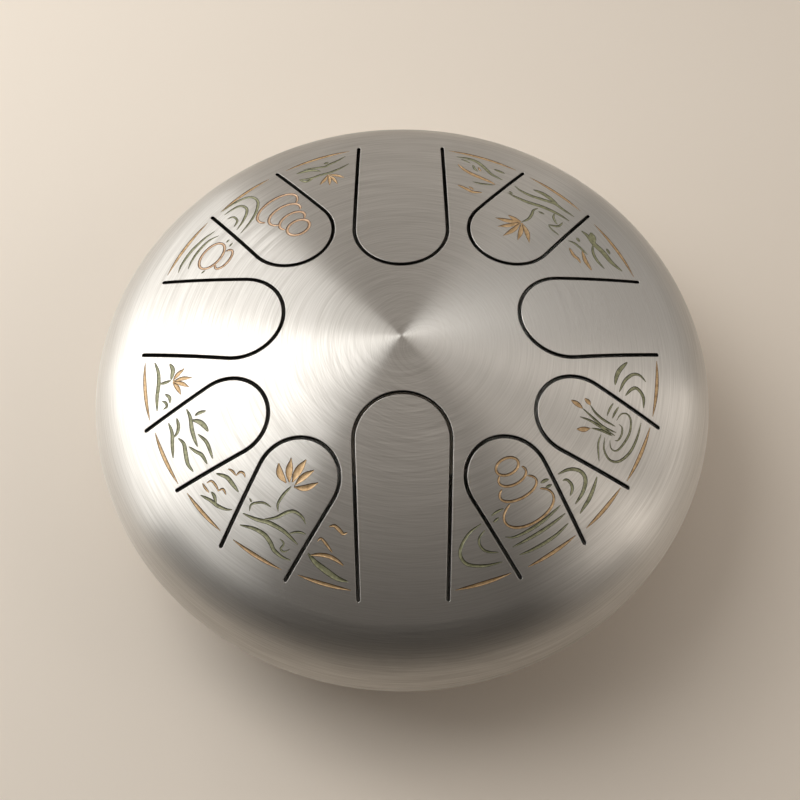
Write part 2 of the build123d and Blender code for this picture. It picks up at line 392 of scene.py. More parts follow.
def bloom_at_back():
    """Between the back left and back tongues."""
    petals = [(-41, 96), (-36, 95.3), (-32, 95.7), (-28.7, 100.4)]
    return flower((-37.0, 103.6), petals, 2.0) + drawn(GREEN, [
        (1.4, [(-50, 109), (-44, 109.5), (-39, 110), (-36, 112), (-32, 114.5), (-28.5, 117.5)]),
        (2.0, [(-53.5, 106), (-49, 107.5), (-45, 107.8), (-41, 106.5)]),
        (1.7, [(-39.5, 112.3), (-37, 113.2)]),
        (1.6, [(-52, 101), (-46, 101.5), (-41, 103.5), (-36, 105), (-31, 107.8), (-26.5, 111.2)]),
        (1.6, [(-51.5, 100.8), (-48, 99.3), (-44.5, 101.5)]),
    ])


def leaves_at_back():
    """Between the back and back right tongues."""
    return drawn(GREEN, [
        (2.0, [(29, 116.5), (34, 115.7), (39, 113.5), (43, 109), (46, 104.5), (49, 102), (52, 100)]),
        (1.0, [(31, 114.8), (34, 113.3), (36, 111.5)]),
        (1.6, [(48, 108), (53.5, 105.3)]),
        (1.4, [(37.2, 110.5), (38, 107.5), (39.5, 105.3)]),
        (1.2, [(36.5, 97.2), (41, 96), (47.5, 95.7)]),
    ]) + drawn(GOLD, [
        (2.2, [(29.5, 110.5), (32, 107), (36, 103.5), (41, 100.5), (45.5, 98), (48, 96)]),
        (1.2, [(40, 109), (40.5, 107), (41.5, 105.8)]),
        (2.0, [(28.8, 94.3), (31, 93), (34, 91), (36.5, 89.5), (41, 89.5)]),
        (1.2, [(34.5, 93.5), (37, 91)]),
    ])


def lotus_at_back():
    """The lotus on the back right tongue."""
    petals = [(53.5, 74.5), (47, 72), (48, 66.3), (50.3, 60.3), (57.3, 58.3), (63, 57.3)]
    return flower((60, 70.5), petals, 2.6) + drawn(GREEN, [
        (1.6, [(60, 70.5), (63.5, 73), (65.5, 76.5), (66.5, 79.5), (69, 81.3)]),
        (1.3, [(69, 79), (72, 77.5)]),
        (2.1, [(54, 90.8), (58, 88), (64, 85), (71, 82.8), (77, 80), (81, 77.5), (84.5, 74.8)]),
        (1.3, [(55, 92), (56.5, 90)]),
        (2.0, [(58, 96.3), (61, 93), (66, 90), (72, 88), (78, 86), (82, 82.5), (87.3, 78.3)]),
        (2.4, [(67.5, 94.8), (72, 92.8), (76, 89.5), (80, 84.8)]),
        (1.3, [(77.3, 79), (76.5, 76), (77.5, 72.5), (78.3, 71.5)]),
        (1.4, [(81, 73.3), (79.5, 71), (77.5, 70), (73.5, 70.5)]),
        (1.0, [(73.5, 70.5), (75, 67.5), (78.5, 64)]),
    ])


def leaves_on_right():
    """Between the back right and right tongues."""
    return drawn(GREEN, [
        (2.9, [(90.3, 69), (93, 66.5), (96, 61.5), (100, 57), (104, 51), (109, 46.3)]),
    ]) + drawn(GREEN, [
        (3.7, [(95.3, 69), (95.6, 66), (96.4, 62.2)]),
    ], belly=0.7) + drawn(GREEN, [
        (1.6, [(95.5, 61), (95, 56), (96.5, 51), (100, 46)]),
        (1.7, [(87.3, 64), (88.8, 61.3)]),
        (1.4, [(82.8, 61.3), (86, 60), (89.5, 56.5), (92, 53.5)]),
        (1.6, [(102.3, 59.5), (103.8, 56)]),
    ]) + drawn(GOLD, [
        (1.9, [(83, 56.5), (85, 52), (87, 50), (88, 47.5)]),
        (2.2, [(89.5, 55.5), (90.5, 50), (91.8, 47), (93.3, 44)]),
    ])


def ripples_on_right():
    """Between the right and mid right tongues."""
    return drawn(GREEN, [
        (2.2, [(107, -6.5), (103, -11), (101, -15), (100, -19.3)]),
        (1.7, [(101.8, -22.7), (105, -16.5), (109, -12.8), (112.5, -12.5), (115.5, -15.5)]),
        (1.8, [(104.7, -24.2), (108, -20.5), (110.8, -19.7), (113.5, -23.5), (113.3, -29.3)]),
    ])


def reeds():
    """The reeds in a pond on the mid right tongue."""
    return drawn(GOLD, [
        (2.6, [(78.3, -29.5), (80.9, -31), (83.5, -33)]),
        (2.4, [(84.8, -28), (86.2, -29.3), (87.3, -31)]),
        (2.6, [(80.2, -43.5), (83.3, -43.3), (86.5, -42.5)]),
    ], belly=0.7) + drawn(GREEN, [
        (1.3, [(83.5, -33), (88, -37), (93, -41), (99, -43.3)]),
        (1.3, [(87.3, -31), (89.5, -34.5), (93, -37.5), (98.8, -40.3)]),
        (1.4, [(82, -37.3), (87, -38.8), (92, -41.5), (98.3, -44.8)]),
        (1.3, [(87.3, -42.3), (92, -43), (97, -45)]),
        (1.0, [(98.5, -28.8), (96.5, -32), (95, -35.5)]),
        (1.1, [(101, -30.3), (99, -33.5), (97.5, -36.5)]),
        (1.0, [(100.5, -39), (102, -40.5), (101.5, -44), (99.5, -47), (98, -47)]),
        (1.1, [(99.5, -37.3), (102, -33.8), (105, -33.5), (106.5, -36.5), (105.5, -42.5), (102, -48.5),
              (98.5, -52), (96, -51), (95.7, -47.3)]),
        (1.3, [(111.5, -36.8), (109, -44.5), (105, -52), (99.5, -56.8), (95, -56.5), (92.7, -52),
              (93.3, -46.2)]),
        (1.0, [(91.7, -44.8), (90, -50), (90, -57.8)]),
    ])


def ripples_beside_front_right():
    """Between the mid right and front right tongues."""
    return drawn(GREEN, [
        (2.0, [(70.5, -65.4), (75, -63), (79, -62.6), (82, -64), (83.2, -67.5), (81.5, -73),
              (78, -78.3)]),
        (1.6, [(72.5, -68.2), (74.5, -67.6), (76.5, -69.5), (76.8, -72), (75.7, -74.8)]),
        (1.8, [(88.7, -65), (87, -70), (84.5, -75.5), (82, -79.3), (80, -82.4)]),
    ])


def stones_in_front():
    """The pile of stones in the water on the front right tongue."""
    pile = [
        ((47.3, -63.2), 5.6, 3.6, 30.0), ((49.5, -67.5), 7.0, 3.8, 30.0),
        ((52.0, -73.0), 9.5, 4.4, 30.0), ((56.7, -81.3), 13.0, 6.6, 33.0),
    ]
    return stones(GOLD, 1.4, pile) + drawn(GREEN, [
        (1.6, [(45.5, -94.5), (49, -94.6), (55, -92), (62, -87.5), (67, -83.2), (71.2, -79.3)]),
        (1.6, [(48.8, -98.8), (55, -95.5), (62, -91.3), (68, -87), (73.2, -82.8)]),
        (1.6, [(51.8, -102), (57, -99.8), (63, -96.5), (69, -92.3), (74.5, -87)]),
        (1.2, [(39.5, -85.7), (42, -83.8), (45.2, -82.2)]),
        (1.3, [(40.3, -88.5), (43, -86.2)]),
        (1.6, [(62.3, -70), (64.5, -68.6), (66.2, -68.0)]),
        (1.4, [(64.5, -71.8), (67.5, -70.3)]),
    ])


def ripples_beside_front():
    """Between the front right and front tongues."""
    return drawn(GREEN, [
        (1.7, [(35, -89.2), (30, -93), (26.5, -98), (25.3, -102.5), (27.3, -106), (31, -107.2),
              (37, -107), (44.2, -105.2)]),
        (1.3, [(36.6, -91.9), (34.2, -95), (34, -98), (36, -100.5), (39, -101.3), (42.5, -101.2)]),
    ])


def draw_everything():
    """All the engraved strokes."""
    panels = [
        rim_lines, lotus_in_front, leaves_beside_front, sprouts_beside_front_left, bamboo, bloom_on_left,
        pond_on_left, stones_at_back, bloom_at_back, leaves_at_back, lotus_at_back, leaves_on_right,
        ripples_on_right, reeds, ripples_beside_front_right, stones_in_front, ripples_beside_front,
    ]
    return [stroke for panel in panels for stroke in panel()]


def carve(plan, strokes):
    """The engraving at each plan point: how far in from its edge, from 0 to 1, its depth in mm, and the
    paint in it."""
    inward = np.zeros(len(plan))
    depth = np.zeros(len(plan))
    paint = np.full(len(plan), STEEL)
    for stroke in strokes:
        near, share, depth_share = stroke.inside(plan)
        paint[near[share > inward[near]]] = stroke.paint
        inward[near] = np.maximum(inward[near], share)
        depth[near] = np.maximum(depth[near], depth_share * GROOVE_DEPTH)
    return inward, depth, paint


# ---------------------------------------------------------------- plan shapes


class Tongue:
    """The plan of one tongue and its slots. In its own frame x runs out along its centre line."""

    def __init__(self, azimuth, lean, half_root, tip_radius, tip_distance, root_distance):
        turn = math.radians(azimuth)
        self.at = LEAN_RADIUS * np.array([math.cos(turn), math.sin(turn)])
        self.turn = turned(azimuth + lean)
        self.tip_radius = tip_radius
        self.tip = tip_distance - LEAN_RADIUS
        self.end = np.array([math.sqrt(root_distance**2 - half_root**2) - LEAN_RADIUS, half_root])
        reach = self.end[0] - self.tip
        self.flare = math.asin(tip_radius / math.hypot(reach, half_root)) - math.atan2(half_root, reach)
        self.out = np.array([math.cos(self.flare), -math.sin(self.flare)])
        self.square = np.array([math.sin(self.flare), math.cos(self.flare)])

    def place(self, local):
        """Plan points of points in the tongue's frame."""
        return local @ self.turn + self.at

    def sides(self, grow):
        """Round the tongue from one slot's end to the other's, grow mm outside the slots' middle."""
        radius = self.tip_radius + grow
        touch = np.array([self.tip, 0]) + self.square * radius
        start = self.end + self.square * grow
        steps = math.ceil((self.end[0] - self.tip) / OUTLINE_STEP)
        straight = start + (touch - start) * (np.arange(steps) / steps)[:, None]
        first = math.pi / 2 - self.flare
        steps = math.ceil(self.tip_radius * math.pi / OUTLINE_STEP)
        turns = np.linspace(first, 2 * math.pi - first, steps)
        arc = np.column_stack([self.tip + radius * np.cos(turns), radius * np.sin(turns)])
        return np.vstack([straight, arc, straight[::-1] * (1, -1)])

    def window(self, grow):
        """Round the far side of both slots, their round ends included."""
        turns = np.linspace(-math.pi / 2, math.pi / 2, CAP_STEPS)[:-1, None]
        cap = self.end + grow * (np.cos(turns) * self.out + np.sin(turns) * self.square)
        return np.vstack([cap, self.sides(grow), cap[::-1] * (1, -1)])

    def root(self, offset):
        """The line on which the tongue meets the shell, between the slots' rows at an offset."""
        corner = self.end - self.square * offset
        share = np.linspace(0, 1, ROOT_STEPS)[:, None]
        return corner * (1, 1) * (1 - share) + corner * (1, -1) * share

    def outward(self):
        """The direction of its centre line, away from the axis."""
        return np.append(np.array([1.0, 0.0]) @ self.turn, 0.0)

    def closed(self, path, offset):
        """The path and the root line as one outline in plan."""
        return self.place(np.vstack([path, self.root(offset)[-2:0:-1]]))


def within(points, outline):
    """Which plan points are inside the closed outline."""
    ahead = np.roll(outline, -1, axis=0)
    rise = ahead[:, 1] - outline[:, 1]
    slope = (ahead[:, 0] - outline[:, 0]) / np.where(rise == 0, 1, rise)
    x, y = points[:, :1], points[:, 1:]
    spans = (outline[:, 1] > y) != (ahead[:, 1] > y)
    left_of = x < outline[:, 0] + slope * (y - outline[:, 1])
    return (spans & left_of).sum(axis=1) % 2 == 1


def polar_grid():
    """Plan points spread evenly over the crown."""
    rings = [np.zeros((1, 2))]
    for ring in range(1, int(PLAN_RADIUS / GRID)):
        count = 6 * ring
        turns = (np.arange(count) + ring % 2 / 2) * 2 * math.pi / count
        rings.append(ring * GRID * np.column_stack([np.cos(turns), np.sin(turns)]))
    return np.vstack(rings)


def circle(radius):
    """Plan points round the axis, one for each of the turned surfaces' segments."""
    turns = np.arange(SEGMENTS) * 2 * math.pi / SEGMENTS
    return radius * np.column_stack([np.cos(turns), np.sin(turns)])


def triangulate(loops, inside, lines=()):
    """Points and anticlockwise triangles of a plan mesh that has the loops and the open lines among its
    edges, over the part of the plan for which inside is true."""
    points = []
    edges = []
    for path, closed in [(loop, True) for loop in loops] + [(line, False) for line in lines]:
        start = len(points)
        count = len(path)
        points.extend(path)
        edges.extend((start + i, start + (i + 1) % count) for i in range(count if closed else count - 1))
    grid = polar_grid()
    points.extend(grid[inside(grid)])
    mesh = delaunay_2d_cdt([Vector(p) for p in points], edges, [], 0, SAME_POINT)
    plan = np.array([tuple(v) for v in mesh[0]])
    for index, sources in enumerate(mesh[3]):
        if sources:
            plan[index] = points[sources[0]]  # at full precision, to match its neighbours
    triangles = np.array(mesh[2])
    triangles = triangles[inside(plan[triangles].mean(axis=1))]
    a, b, c = (plan[triangles[:, i]] for i in range(3))
    ab, ac = b - a, c - a
    area = ab[:, 0] * ac[:, 1] - ab[:, 1] * ac[:, 0]
    triangles[area < 0] = triangles[area < 0][:, ::-1]
    longest = np.max([np.linalg.norm(side, axis=1) for side in (ab, ac, c - b)], axis=0)
    return plan, triangles[abs(area) > LEAST_HEIGHT * longest]


# ---------------------------------------------------------------- meshes


def unit(vectors):
    """The vectors at length 1."""
    return vectors / np.maximum(np.linalg.norm(vectors, axis=1), 1e-12)[:, None]


def crown(plan, radius):
    """Points over the equator on the crown's sphere, and their outward normals."""
    height = np.sqrt(radius**2 - (plan**2).sum(axis=1))
    return np.column_stack([plan, height - CROWN_DEPTH]), np.column_stack([plan, height]) / radius


class Skin:
    """A mesh in the making: faces whose corners have normals of their own, in mm over the equator."""

    def __init__(self):
        self.points = []
        self.normals = []
        self.faces = []
        self.paints = []
        self.inward = []
        self.count = 0

    def add(self, points, normals, faces, paints=None, inward=None):
        """Faces, each turned to the side that its corners' normals are on. Inward is how far each point
        is in from a groove's edge, from 0 to 1."""
        faces = np.asarray(faces)
        a, b, c = (points[faces[:, i]] for i in range(3))
        facing = (np.cross(b - a, c - a) * normals[faces].mean(axis=1)).sum(axis=1)
        faces = np.where((facing < 0)[:, None], faces[:, ::-1], faces)
        self.points.append(points)
        self.normals.append(normals)
        self.faces.extend((faces + self.count).tolist())
        self.paints.extend([STEEL] * len(faces) if paints is None else list(paints))
        self.inward.append(np.zeros(len(points)) if inward is None else inward)
        self.count += len(points)

    def add_rows(self, rows, row_normals, closed=False, paint=STEEL):
        """A strip of squares between each row of points and the next."""
        length = len(rows[0])
        steps = length if closed else length - 1
        first = np.arange(steps)
        after = (first + 1) % length
        base = np.arange(len(rows) - 1)[:, None] * length
        corners = (base + first, base + after, base + after + length, base + first + length)
        faces = np.stack([c.ravel() for c in corners], axis=1)
        self.add(np.vstack(rows), np.vstack(row_normals), faces, [paint] * len(faces))

    def turn(self, profile):
        """A surface of revolution: profile points (radius, height) with normals (out, up)."""
        points, normals = profile
        around = circle(1)
        rows = [np.column_stack([around * r, np.full(SEGMENTS, z)]) for r, z in points]
        row_normals = [np.column_stack([around * out, np.full(SEGMENTS, up)]) for out, up in normals]
        self.add_rows(rows, row_normals, closed=True)

    def build(self, name, materials, body_name, slot_name, *nodes):
        """The object, in metres in the row frame, standing for its CAD nodes."""
        points = np.vstack(self.points)
        normals = np.vstack(self.normals)
        keys = np.round(points / WELD_GRID).astype(np.int64)
        _, first, merged = np.unique(keys, axis=0, return_index=True, return_inverse=True)
        merged = merged.ravel()
        faces, corners, paints = [], [], []
        for face, paint in zip(self.faces, self.paints):
            vertices = [int(merged[i]) for i in face]
            if len(set(vertices)) == len(vertices):
                faces.append(vertices)
                corners.extend(face)
                paints.append(paint)
        mesh = bpy.data.meshes.new(name)
        mesh.from_pydata((points[first] + (0, 0, EQUATOR)) * MM, [], faces)
        for material in materials:
            mesh.materials.append(material)
        mesh.polygons.foreach_set("material_index", paints)
        mesh.polygons.foreach_set("use_smooth", [True] * len(faces))
        mesh.normals_split_custom_set(unit(normals[corners]).tolist())
        inward = np.zeros(len(first), np.float32)
        np.maximum.at(inward, merged, np.concatenate(self.inward))
        mesh.attributes.new("inward", "FLOAT", "POINT").data.foreach_set("value", inward)
        made = bpy.data.objects.new(name, mesh)
        bpy.context.scene.collection.objects.link(made)
        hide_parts(*nodes)
        if body_name:
            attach(made, body_name)
        return made


def arc(centre, radius, start, end, steps, side=1):
    """Profile points on an arc between two angles in radians, with normals away from its centre, or
    towards it for side -1."""
    turns = np.linspace(start, end, steps + 1)
    out = np.column_stack([np.cos(turns), np.sin(turns)])
    return np.array(centre) + radius * out, out * side


def straight(start, end, normal):
    """Profile points on a line, with one normal."""
    return np.array([start, end], float), np.array([normal, normal], float)


def mirrored(profile):
    """The profile below the equator instead of above it."""
    return tuple(part * (1, -1) for part in profile)


def angle_at(radius, sphere):
    """Angle on the crown's arc of the point at this radius from the axis."""
    return math.acos(radius / sphere)


def bowl_profiles(outer_start, inner_start):
    """A bowl's two sides and rim, from two radii on its crown to the weld's groove."""
    crown_centre, knuckle = (0, -CROWN_DEPTH), (KNUCKLE_CENTRE, 0)
    inside = KNUCKLE_RADIUS - SHEET
    outer_steps = max(2, math.ceil((KNUCKLE_CENTRE - outer_start) / GRID))
    inner_steps = max(2, math.ceil((KNUCKLE_CENTRE - inner_start) / GRID))
    return [
        arc(crown_centre, CROWN_RADIUS, angle_at(outer_start, CROWN_RADIUS), CROWN_EDGE, outer_steps),
        arc(knuckle, KNUCKLE_RADIUS, CROWN_EDGE, WELD_ANGLE, SHOULDER_STEPS),
        straight(WELD_LIP, WELD_ROOT, (SLANT, -SLANT)),
        straight(WELD_ROOT, (OUTER_RADIUS - SHEET, 0), (0, -1)),
        arc(knuckle, inside, 0, CROWN_EDGE, INNER_SHOULDER_STEPS, side=-1),
        arc(
            crown_centre, INNER_CROWN, CROWN_EDGE, angle_at(inner_start, INNER_CROWN), inner_steps,
            side=-1,
        ),
    ]


def sound_hole_profiles():
    """The sound hole's rounded mouth, wall and turned-in lip, drawn as if in the top bowl."""
    centre_radius = SOUND_HOLE_RADIUS + LIP_ROUNDING
    inside_sphere = CROWN_RADIUS - LIP_ROUNDING
    height = math.sqrt(inside_sphere**2 - centre_radius**2) - CROWN_DEPTH
    back = SOUND_HOLE_RADIUS + SHEET
    floor = math.sqrt(INNER_CROWN**2 - back**2) - CROWN_DEPTH
    top = floor - LIP_HEIGHT
    touch = math.acos(centre_radius / inside_sphere)
    return [
        arc((centre_radius, height), LIP_ROUNDING, touch, math.pi, LIP_STEPS),
        straight((SOUND_HOLE_RADIUS, height), (SOUND_HOLE_RADIUS, top), (-1, 0)),
        straight((SOUND_HOLE_RADIUS, top), (back, top), (0, -1)),
        straight((back, top), (back, floor), (1, 0)),
    ]


def mouth_radius():
    """Radius at which the sound hole's rounding starts on the outside of the bowl."""
    centre_radius = SOUND_HOLE_RADIUS + LIP_ROUNDING
    return centre_radius * CROWN_RADIUS / (CROWN_RADIUS - LIP_ROUNDING)


def add_slot_edge(skin, tongue, path, side, strokes):
    """The rounded edge and the wall of a sheet beside a slot. path gives the edge's rows at any
    distance from the slot's middle, and side is 1 for the tongue's edge and -1 for the shell's."""
    half = SLOT_WIDTH / 2
    rows, row_normals = [], []
    for angle in np.radians(EDGE_ANGLES):
        offset = -side * (half + EDGE_ROUNDING * (1 - math.sin(angle)))
        local = path(offset)
        plan = tongue.place(local)
        to_slot = side * unit(tongue.place(path(offset + PROBE)) - plan)
        points, normals = crown(plan, CROWN_RADIUS)
        points[:, 2] -= carve(plan, strokes)[1] + EDGE_ROUNDING * (1 - math.cos(angle))
        sideways = np.column_stack([to_slot, np.zeros(len(plan))])
        rows.append(points)
        row_normals.append(unit(math.cos(angle) * normals + math.sin(angle) * sideways))
    skin.add_rows(rows, row_normals)
    below, _ = crown(plan, INNER_CROWN)
    # the cut wall: the cutter's dark oxide, made darker with painted shade
    skin.add_rows([rows[-1], below], [sideways, sideways], paint=CUT_AND_SHADE)
    outward = side * tongue.outward()
    for end in (0, -1):  # the sliver between the rounded edge and the cut at the root
        corners = np.array([below[end], *(row[end] for row in rows)])
        fan = [(0, i, i + 1) for i in range(1, len(rows))]
        skin.add(corners, np.tile(outward, (len(corners), 1)), fan)


def add_root_wall(skin, tongue, side):
    """The cut through the sheet along a tongue's root."""
    half = SLOT_WIDTH / 2
    above = tongue.root(half + EDGE_ROUNDING)
    below = tongue.root(half)
    top, _ = crown(tongue.place(above), CROWN_RADIUS)
    bottom, _ = crown(tongue.place(below), INNER_CROWN)
    normals = np.tile(side * tongue.outward(), (ROOT_STEPS, 1))
    skin.add_rows([top, bottom], [normals, normals])


def add_crown(skin, loops, inside, strokes):
    """The crown's outer face, with its grooves."""
    outlines = [outline for stroke in strokes for outline in stroke.outlines()]
    middles = [stroke.line for stroke in strokes]
    plan, triangles = triangulate(loops + outlines, inside, middles)
    points, normals = crown(plan, CROWN_RADIUS)
    inward, depth, _ = carve(plan, strokes)
    points[:, 2] -= depth
    paints = carve(plan[triangles].mean(axis=1), strokes)[2]
    grooved = paints != STEEL
    skin.add(points, normals, triangles[~grooved])
    if grooved.any():
        faces = triangles[grooved]
        a, b, c = (points[faces[:, i]] for i in range(3))
        facing = np.cross(b - a, c - a)
        smooth = np.zeros_like(points)
        for corner in range(3):
            np.add.at(smooth, faces[:, corner], facing)
        skin.add(points, unit(smooth), faces, paints[grooved], inward)


def add_inner_crown(skin, loops, inside):
    """The crown's inner face."""
    plan, triangles = triangulate(loops, inside)
    points, normals = crown(plan, INNER_CROWN)
    skin.add(points, -normals, triangles)


def make_top_shell(tongues, strokes, materials):
    """The top bowl round the tongues."""
    skin = Skin()
    half = SLOT_WIDTH / 2
    rim = half + EDGE_ROUNDING
    edge = circle(PLAN_RADIUS)  # where the plan mesh meets the turned shoulder
    windows = [tongue.closed(tongue.window(rim), rim) for tongue in tongues.values()]
    inner_windows = [tongue.closed(tongue.window(half), half) for tongue in tongues.values()]
    beside = [s for s in strokes if not any(within(s.line, w).all() for w in windows)]

    def outside_all(points, holes):
        kept = (points**2).sum(axis=1) < PLAN_RADIUS**2
        for hole in holes:
            kept &= ~within(points, hole)
        return kept

    add_crown(skin, [edge, *windows], lambda p: outside_all(p, windows), beside)
    add_inner_crown(skin, [edge, *inner_windows], lambda p: outside_all(p, inner_windows))
    for tongue in tongues.values():
        add_slot_edge(skin, tongue, tongue.window, -1, beside)
        add_root_wall(skin, tongue, -1)
    for profile in bowl_profiles(PLAN_RADIUS, PLAN_RADIUS):
        skin.turn(profile)
    return skin.build("drum_top", materials, "drum", "brushed_steel", "top_shell")


def make_tongue(name, tongue, strokes, materials):
    """One tongue. Its root line has the same points as the shell's, so no joint shows there."""
    skin = Skin()
    half = SLOT_WIDTH / 2
    rim = half + EDGE_ROUNDING
    outline = tongue.closed(tongue.sides(-rim), rim)
    inner_outline = tongue.closed(tongue.sides(-half), half)
    on_it = [s for s in strokes if within(s.line, outline).any()]
    add_crown(skin, [outline], lambda p: within(p, outline), on_it)
    add_inner_crown(skin, [inner_outline], lambda p: within(p, inner_outline))
    add_slot_edge(skin, tongue, tongue.sides, 1, on_it)
    add_root_wall(skin, tongue, 1)
    node = "tongue_" + name
    made = skin.build("skin_" + node, materials, None, "brushed_steel", node)
    root = tongue.root(half).mean(axis=0)
    line = tongue.place(np.array([root, root - (BEND_LENGTH, 0)]))
    start, end = (crown(line, CROWN_RADIUS)[0] + (0, 0, EQUATOR)) * MM
    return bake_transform(made, "drum", node, start=tuple(start), end=tuple(end))


def make_bottom_shell(materials):
    """The bottom bowl with its sound hole."""
    skin = Skin()
    profiles = bowl_profiles(mouth_radius(), SOUND_HOLE_RADIUS + SHEET) + sound_hole_profiles()
    for profile in profiles:
        skin.turn(mirrored(profile))
    return skin.build("drum_bottom", materials, "drum", "brushed_steel", "bottom_shell")


def make_weld(materials):
    """The bead between the bowls, ground to their curve."""
    skin = Skin()
    bead = arc((KNUCKLE_CENTRE, 0), KNUCKLE_RADIUS, -WELD_ANGLE, WELD_ANGLE, BEAD_STEPS)
    upper = straight(WELD_LIP, WELD_ROOT, (-SLANT, SLANT))
    for profile in (bead, upper, mirrored(upper)):
        skin.turn(profile)
    return skin.build("weld_bead", materials, "drum", "weld_steel", "equator_weld")


# ---------------------------------------------------------------- materials


class Nodes:
    """Short ways to make and join the nodes of a material or a world."""

    def __init__(self, owner):
        owner.use_nodes = True
        self.owner = owner
        self.tree = owner.node_tree

    def new(self, kind, inputs=(), **settings):
        """A node, its settings, and its inputs as values or as sockets to join."""
        node = self.tree.nodes.new(kind)
        for key, value in settings.items():
            setattr(node, key, value)
        for key, value in dict(inputs).items():
            self.put(node.inputs[key], value)
        return node

    def put(self, socket, value):
        """A value for a socket, or another node's output joined to it."""
        if isinstance(value, bpy.types.NodeSocket):
            self.tree.links.new(value, socket)
        else:
            socket.default_value = value

    def shade(self, **inputs):
        """The material, once its shader has these inputs, named with underscores for spaces."""
        shader = self.tree.nodes["Principled BSDF"]
        for key, value in inputs.items():
            self.put(shader.inputs[key.replace("_", " ")], value)
        return self.owner

    def math(self, operation, a, b=0.0):
        """One sum."""
        return self.new("ShaderNodeMath", {0: a, 1: b}, operation=operation).outputs[0]

    def vector(self, operation, a, b=(0, 0, 0)):
        """One vector sum."""
        return self.new("ShaderNodeVectorMath", {0: a, 1: b}, operation=operation).outputs[0]

    def object_point(self):
        """The place on the piece at rest, in metres."""
        return self.new("ShaderNodeTexCoord").outputs["Object"]

    def noise(self, point, scale, detail=2.0, roughness=0.5):
        """Noise from 0 to 1."""
        inputs = {"Vector": point, "Scale": scale, "Detail": detail, "Roughness": roughness}
        return self.new("ShaderNodeTexNoise", inputs).outputs[0]

    def ramp(self, value, low, high, start=0.3, end=0.7):
        """A number that goes from low to high as value goes from start to end."""
        inputs = {"Value": value, "From Min": start, "From Max": end, "To Min": low, "To Max": high}
        return self.new("ShaderNodeMapRange", inputs).outputs[0]

    def split(self, vector):
        """A vector's three parts."""
        return self.new("ShaderNodeSeparateXYZ", {0: vector}).outputs

    def length(self, vector):
        """A vector's length."""
        return self.new("ShaderNodeVectorMath", {0: vector}, operation="LENGTH").outputs["Value"]

    def blend(self, share, low, high):
        """A colour between two, each of which is three numbers or another node's output."""
        node = self.new("ShaderNodeMix", data_type="RGBA")
        self.put(node.inputs["Factor"], share)
        for socket, colour in ((node.inputs[6], low), (node.inputs[7], high)):
            self.put(socket, colour if isinstance(colour, bpy.types.NodeSocket) else (*colour, 1.0))
        return node.outputs[2]

    def bump(self, height, depth):
        """Normals of a relief that is depth metres deep."""
        inputs = {"Height": height, "Distance": depth, "Strength": 1.0}
        return self.new("ShaderNodeBump", inputs).outputs[0]


def new_material(name):
    """A new material's nodes."""
    return Nodes(bpy.data.materials.new(name))


# Scratches: their periods per metre across and along, and the centre that they go round. A streak's
# weight comes first
AXIS = (0, 0, 0)
FINE_SCRATCHES = (3200, 26, AXIS)
STREAKS = [(0.45, 1300, 22, AXIS), (0.43, 1500, 34, (0.011, -0.006, 0)), (0.12, 420, 8, AXIS)]


def brushed(name, base_low, base_high, roughness, anisotropy, scratch_depth):
    """Steel brushed in circles round the drum's axis, so that its gloss spreads across them."""
    n = new_material(name)
    point = n.object_point()
    height = n.math("ABSOLUTE", n.math("SUBTRACT", n.split(point)[2], EQUATOR * MM))

    def scratches(across, along, centre):
        """Noise stretched round a centre."""
        moved = n.vector("SUBTRACT", point, centre)
        run = n.math("SUBTRACT", n.length(n.vector("MULTIPLY", moved, (1, 1, 0))), height)
        x, y, _ = n.split(moved)
        scaled = [(run, across), (x, along), (y, along)]
        parts = {i: n.math("MULTIPLY", part, scale) for i, (part, scale) in enumerate(scaled)}
        stretched = n.new("ShaderNodeCombineXYZ", parts).outputs[0]
        return n.noise(stretched, scale=1.0, detail=3.0, roughness=0.6)

    streaks = 0.0
    for weight, *scale_and_centre in STREAKS:
        streaks = n.math("ADD", streaks, n.math("MULTIPLY", scratches(*scale_and_centre), weight))
    relief = n.math("ADD", n.math("MULTIPLY", scratches(*FINE_SCRATCHES), 0.5), streaks)
    round_axis = n.vector("CROSS_PRODUCT", (0, 0, 1), point)
    facing = n.new("ShaderNodeNewGeometry").outputs["Normal"]
    return n.shade(
        Base_Color=n.blend(n.ramp(streaks, 0, 1, start=0.40, end=0.58), base_low, base_high),
        Metallic=1.0,
        Roughness=n.ramp(streaks, roughness + 0.04, roughness - 0.04, start=0.40, end=0.60),
        Anisotropic=anisotropy,
        Tangent=n.vector("CROSS_PRODUCT", facing, round_axis),
        Normal=n.bump(relief, scratch_depth),
    )


def paint_in_groove(name, edge, low, high, metallic, roughness):
    """Hand-wiped metallic paint, uneven in colour, with painted shade that darkens it up the groove's
    walls.
    """
    n = new_material(name)
    point = n.object_point()
    patches = n.noise(point, 520.0, detail=4.0, roughness=0.65)
    grain = n.noise(point, 2600.0)
    depth = n.new("ShaderNodeAttribute", attribute_name="inward").outputs["Fac"]
    # painted shade: the dark edge colour covers the groove's walls, mottled by the patches
    painted_wall_shade = n.math("ADD", depth, n.math("MULTIPLY", n.math("SUBTRACT", patches, 0.5), 0.5))
    paint = n.blend(n.ramp(patches, 0, 1), low, high)
    return n.shade(
        Base_Color=n.blend(n.ramp(painted_wall_shade, 0, 1, start=0.45, end=0.95), edge, paint),
        Metallic=metallic,
        Roughness=n.ramp(grain, roughness - 0.08, roughness + 0.08),
        Normal=n.bump(grain, 0.00004),
    )


